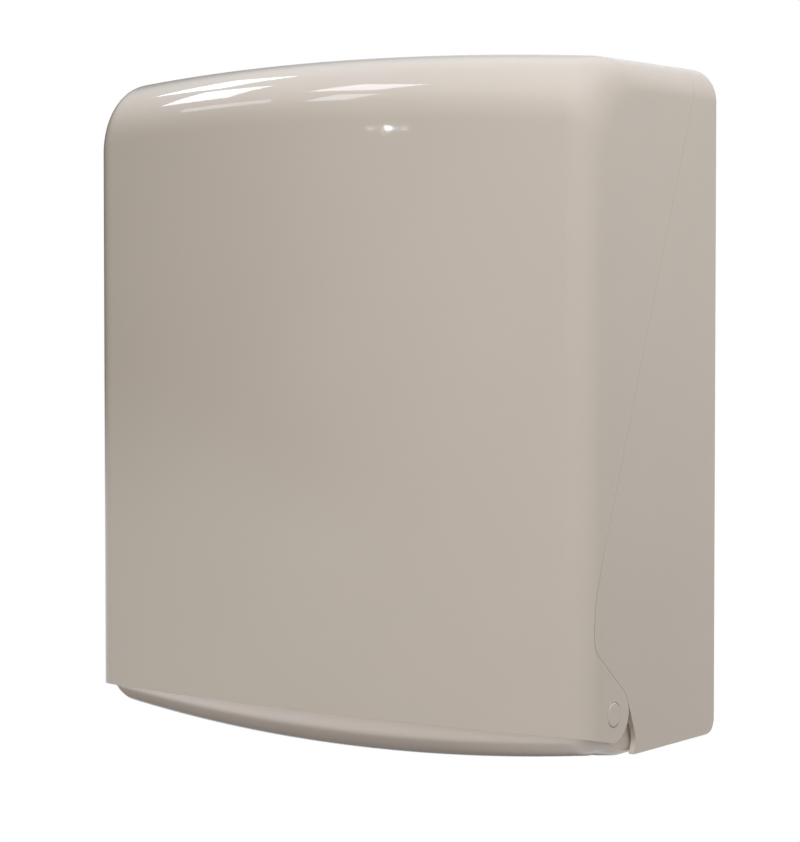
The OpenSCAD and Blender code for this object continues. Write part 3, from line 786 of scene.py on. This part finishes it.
for piece in (coverShell, bodyShell, bodyPosts):
    dress(piece, "housing")
for piece in (trayShell, trayFlange):
    dress(piece, "tray")
slotOf = {row["node"]: row["material_slot"] for row in frame["record"]["subparts"]}
for name, node in frame["nodes"].items():
    dress(node, slotOf[name])
print("finishes placed")


studio = {
    "world": 0.24,
    "floorDepth": -1.0,
    "floorSize": 2.5,
    "floorColor": (0.3, 0.3, 0.3, 1),
    "floorGlow": 0.9,          # towards the camera
    # what reflections see, as from, to, first value, last value
    "floorFront": (-0.35, 0.0, 2.7, 0.0),    # along y
    "floorRight": (-0.55, 0.05, 0.0, 1.6),   # along x
    "floorRim": (1.3, 2.4, 0.0, 1.0),        # by the distance from the middle
    "leftDim": (-0.85, -0.38, 0.0, 1.0),     # of the room, along x
    "overhead": (0.25, 0.8, 0.0, 1.7),       # along z
    "tableTop": (-0.10, -0.02, 1.0, 0.0),    # along z
    "aim": (0.0, -0.1, 0.06),
    "fillAlong": (1.0, 0.0, 0.2),
    "paneTint": (0.96, 1.03, 1.12),
    "fills": {                 # place, size, watts, tint
        "highSoft": ((0.52, -0.40, 1.04), 0.5, 8.4, (0.99, 1.02, 1.15)),
        "sideSoft": ((1.02, 0.49, 0.21), 0.5, 1.95, (1.06, 1.0, 0.92)),
        "rearSoft": ((0.59, 0.92, 0.21), 0.5, 2.7, (1.06, 1.0, 0.92)),
        "frontSoft": ((0.76, -1.01, 0.21), 0.5, 2.85, (1.04, 1.0, 0.95)),
        "lowSoft": ((0.0, -1.28, -0.20), 0.5, 4.25, (1.03, 1.0, 0.97)),
    },
    "panes": {                 # place, direction of the long side, sizes, watts
        "paneRear": ((-1.446, 0.165, 1.536), (0.574, -0.613, 0.543), (0.25, 0.36), 1.9),
        "paneMiddle": ((-1.506, -0.428, 1.478), (0.721, -0.525, 0.453), (0.25, 0.46), 2.3),
        "paneFront": ((-1.49, -1.02, 1.19), (0.721, -0.525, 0.453), (0.34, 0.18), 0.45),
        "paneRight": ((-1.074, -0.885, 1.61), (0.72, -0.69, 0.08), (0.28, 0.29), 1.4),
        "paneLow": ((-1.14, -1.26, 1.29), (0.72, -0.69, 0.08), (0.17, 0.28), 0.55),
        "spark": ((-0.736, -1.394, 0.226), (1.0, -0.6, 0.0), (0.02, 0.003), 0.011),
        "streak": ((-0.736, -1.394, 0.226), (1.0, -0.6, 0.0), (0.11, 0.0015), 0.005),
    },
}


def makeLamp(name, place, along, sizes, watts, shows, tint):
    data = bpy.data.lights.new(name, "AREA")
    data.energy = watts
    data.color = tint
    data.shape = "RECTANGLE"
    data.size, data.size_y = sizes
    back = (Vector(place) - Vector(studio["aim"])).normalized()
    across = (Vector(along) - back * back.dot(Vector(along))).normalized()
    lamp = bpy.data.objects.new(name, data)
    turn = Matrix((across, back.cross(across), back)).transposed()
    lamp.matrix_world = Matrix.Translation(place) @ turn.to_4x4()
    lamp.visible_glossy = shows
    lamp.visible_camera = False
    bpy.context.scene.collection.objects.link(lamp)


def makeRoom():
    # the camera sees white, reflections see a room that is dimmer on the left and lighter overhead
    world = bpy.data.worlds.new("studio")
    bpy.context.scene.world = world
    world.use_nodes = True
    tree = world.node_tree
    nodes, links = tree.nodes, tree.links
    shade = nodes["Background"]
    white = nodes.new("ShaderNodeBackground")
    room = nodes.new("ShaderNodeBackground")
    for part, strength in ((shade, studio["world"]), (white, 1.0), (room, 1.0)):
        part.inputs["Color"].default_value = (1, 1, 1, 1)
        part.inputs["Strength"].default_value = strength
    axes = nodes.new("ShaderNodeSeparateXYZ")
    links.new(nodes.new("ShaderNodeTexCoord").outputs["Generated"], axes.inputs["Vector"])
    left = smoothSpan(tree, axes.outputs["X"], studio["leftDim"])
    above = smoothSpan(tree, axes.outputs["Z"], studio["overhead"])
    below = smoothSpan(tree, axes.outputs["Z"], studio["tableTop"])
    both = mathOf(tree, "MAXIMUM", left, above)
    links.new(mathOf(tree, "MAXIMUM", both, below), room.inputs["Strength"])
    path = nodes.new("ShaderNodeLightPath")
    mirrored = nodes.new("ShaderNodeMixShader")
    links.new(path.outputs["Is Glossy Ray"], mirrored.inputs["Fac"])
    links.new(shade.outputs["Background"], mirrored.inputs[1])
    links.new(room.outputs["Background"], mirrored.inputs[2])
    mix = nodes.new("ShaderNodeMixShader")
    links.new(path.outputs["Is Camera Ray"], mix.inputs["Fac"])
    links.new(mirrored.outputs["Shader"], mix.inputs[1])
    links.new(white.outputs["Background"], mix.inputs[2])
    links.new(mix.outputs["Shader"], nodes["World Output"].inputs["Surface"])


def makeFloor():
    bm = bmesh.new()
    bmesh.ops.create_grid(bm, x_segments=8, y_segments=8, size=studio["floorSize"])
    floor = meshObject("studioFloor", bm)
    floor.location = (0, 0, studio["floorDepth"])
    pale = bpy.data.materials.new("paleFloor")
    pale.use_nodes = True
    tree = pale.node_tree
    nodes, links = tree.nodes, tree.links
    matt = nodes["Principled BSDF"]
    matt.inputs["Base Color"].default_value = studio["floorColor"]
    matt.inputs["Roughness"].default_value = 0.9
    place = nodes.new("ShaderNodeTexCoord").outputs["Object"]
    axes = nodes.new("ShaderNodeSeparateXYZ")
    links.new(place, axes.inputs["Vector"])
    distance = nodes.new("ShaderNodeVectorMath")
    distance.operation = "LENGTH"
    links.new(place, distance.inputs[0])
    before = smoothSpan(tree, axes.outputs["Y"], studio["floorFront"])
    right = smoothSpan(tree, axes.outputs["X"], studio["floorRight"])
    rim = smoothSpan(tree, distance.outputs["Value"], studio["floorRim"])
    lighter = mathOf(tree, "MAXIMUM", mathOf(tree, "MAXIMUM", before, right), rim)
    path = nodes.new("ShaderNodeLightPath")
    mirrored = mathOf(tree, "MULTIPLY", path.outputs["Is Glossy Ray"], lighter)
    seen = nodes.new("ShaderNodeMath")
    seen.operation = "MULTIPLY"
    seen.inputs[1].default_value = studio["floorGlow"]
    links.new(mathOf(tree, "MAXIMUM", path.outputs["Is Camera Ray"], mirrored), seen.inputs[0])
    glow = nodes.new("ShaderNodeEmission")
    glow.inputs["Color"].default_value = (1, 1, 1, 1)
    links.new(seen.outputs["Value"], glow.inputs["Strength"])
    both = nodes.new("ShaderNodeAddShader")
    links.new(matt.outputs["BSDF"], both.inputs[0])
    links.new(glow.outputs["Emission"], both.inputs[1])
    links.new(both.outputs["Shader"], nodes["Material Output"].inputs["Surface"])
    floor.data.materials.append(pale)


bpy.context.scene.view_settings.view_transform = "Standard"
makeRoom()
for name, (place, size, watts, tint) in studio["fills"].items():
    makeLamp(name, place, studio["fillAlong"], (size, size), watts, False, tint)
for name, (place, along, sizes, watts) in studio["panes"].items():
    makeLamp(name, place, along, sizes, watts, True, studio["paneTint"])
makeFloor()


lens = {"place": (0.7280, -1.0474, 0.0409), "yaw": 36.14, "down": 1.9, "shiftY": -0.0435, "focal": 109.2}


def makeCamera():
    data = bpy.data.cameras.new("photoCamera")
    data.sensor_width = 36.0
    data.lens = lens["focal"]
    data.shift_y = lens["shiftY"]
    camera = bpy.data.objects.new("photoCamera", data)
    camera.location = lens["place"]
    camera.rotation_euler = (math.radians(90 - lens["down"]), 0, math.radians(lens["yaw"]))
    bpy.context.scene.collection.objects.link(camera)
    bpy.context.scene.camera = camera


makeCamera()
print("studio and camera ready")
